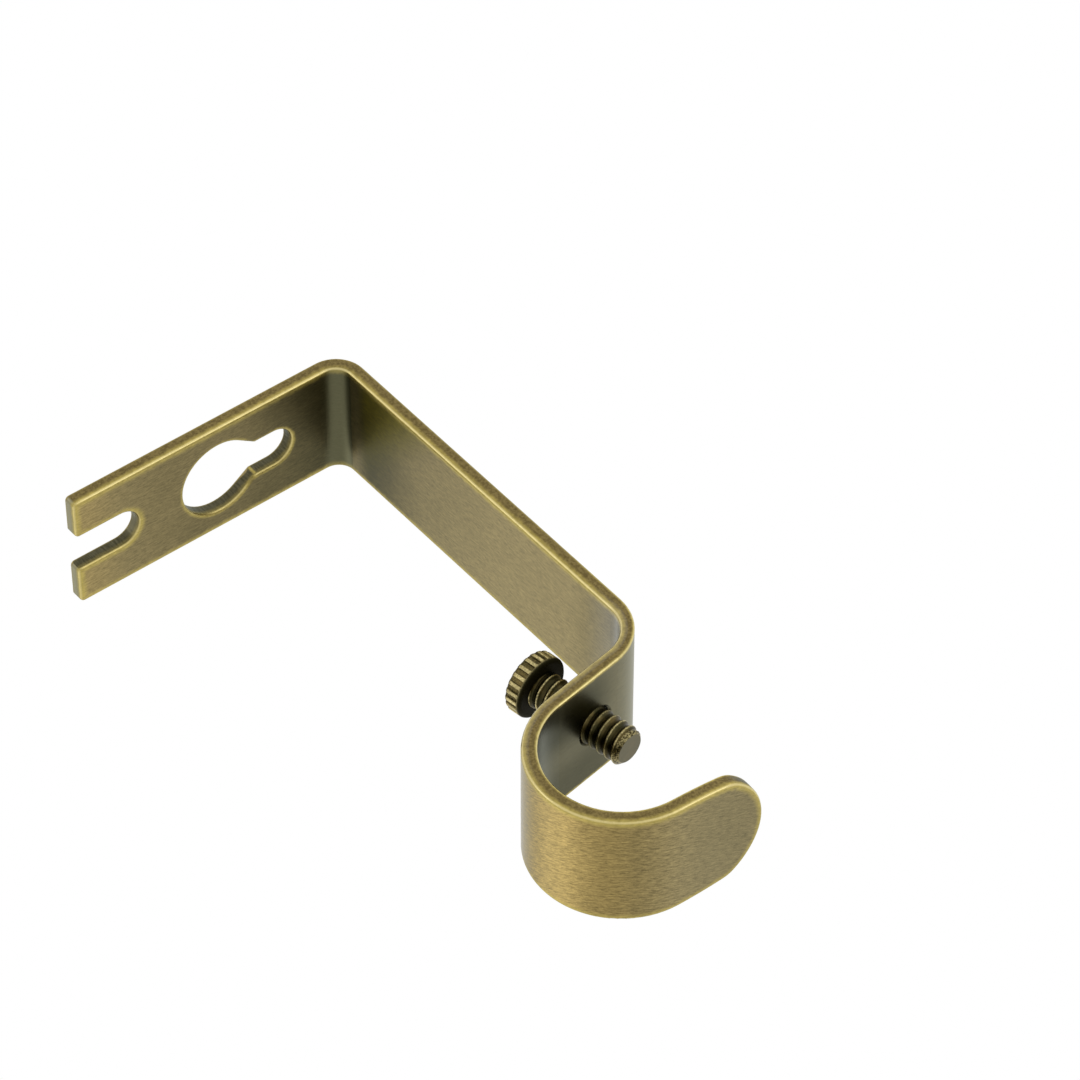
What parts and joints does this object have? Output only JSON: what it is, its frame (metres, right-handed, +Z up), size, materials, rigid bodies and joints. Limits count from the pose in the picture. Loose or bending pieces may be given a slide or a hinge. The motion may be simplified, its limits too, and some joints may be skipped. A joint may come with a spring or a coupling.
{
  "type": "curtain rod bracket",
  "caption": "Folded strip-metal curtain rod bracket: wall plate with keyhole and end slot, straight arm, open hooked cup and knurled thumbscrew.",
  "frame": {"origin": "back face of the wall plate, on the strip's centreline, at the web between the keyhole and the end slot", "axes": "+X out from the wall, +Y along the rod, +Z up as it hangs on the wall"},
  "size_m": [0.103, 0.0204, 0.0503],
  "materials": {
    "antique_brass": "darkened antique brass, brushed along the strip, rubbed bright at the edges",
    "antique_brass_screw": "darkened antique brass, bright on knurl and thread crests"
  },
  "bodies": {
    "bracket": {"bracket": "antique_brass"},
    "thumbscrew": {"thumbscrew": "antique_brass_screw"}
  },
  "joints": [
    {"name": "thumbscrew_travel", "type": "slide", "parent": "bracket", "child": "thumbscrew", "axis": [0.9882, 0, 0.153], "range_m": [-0.0065, 0.0078]}
  ]
}
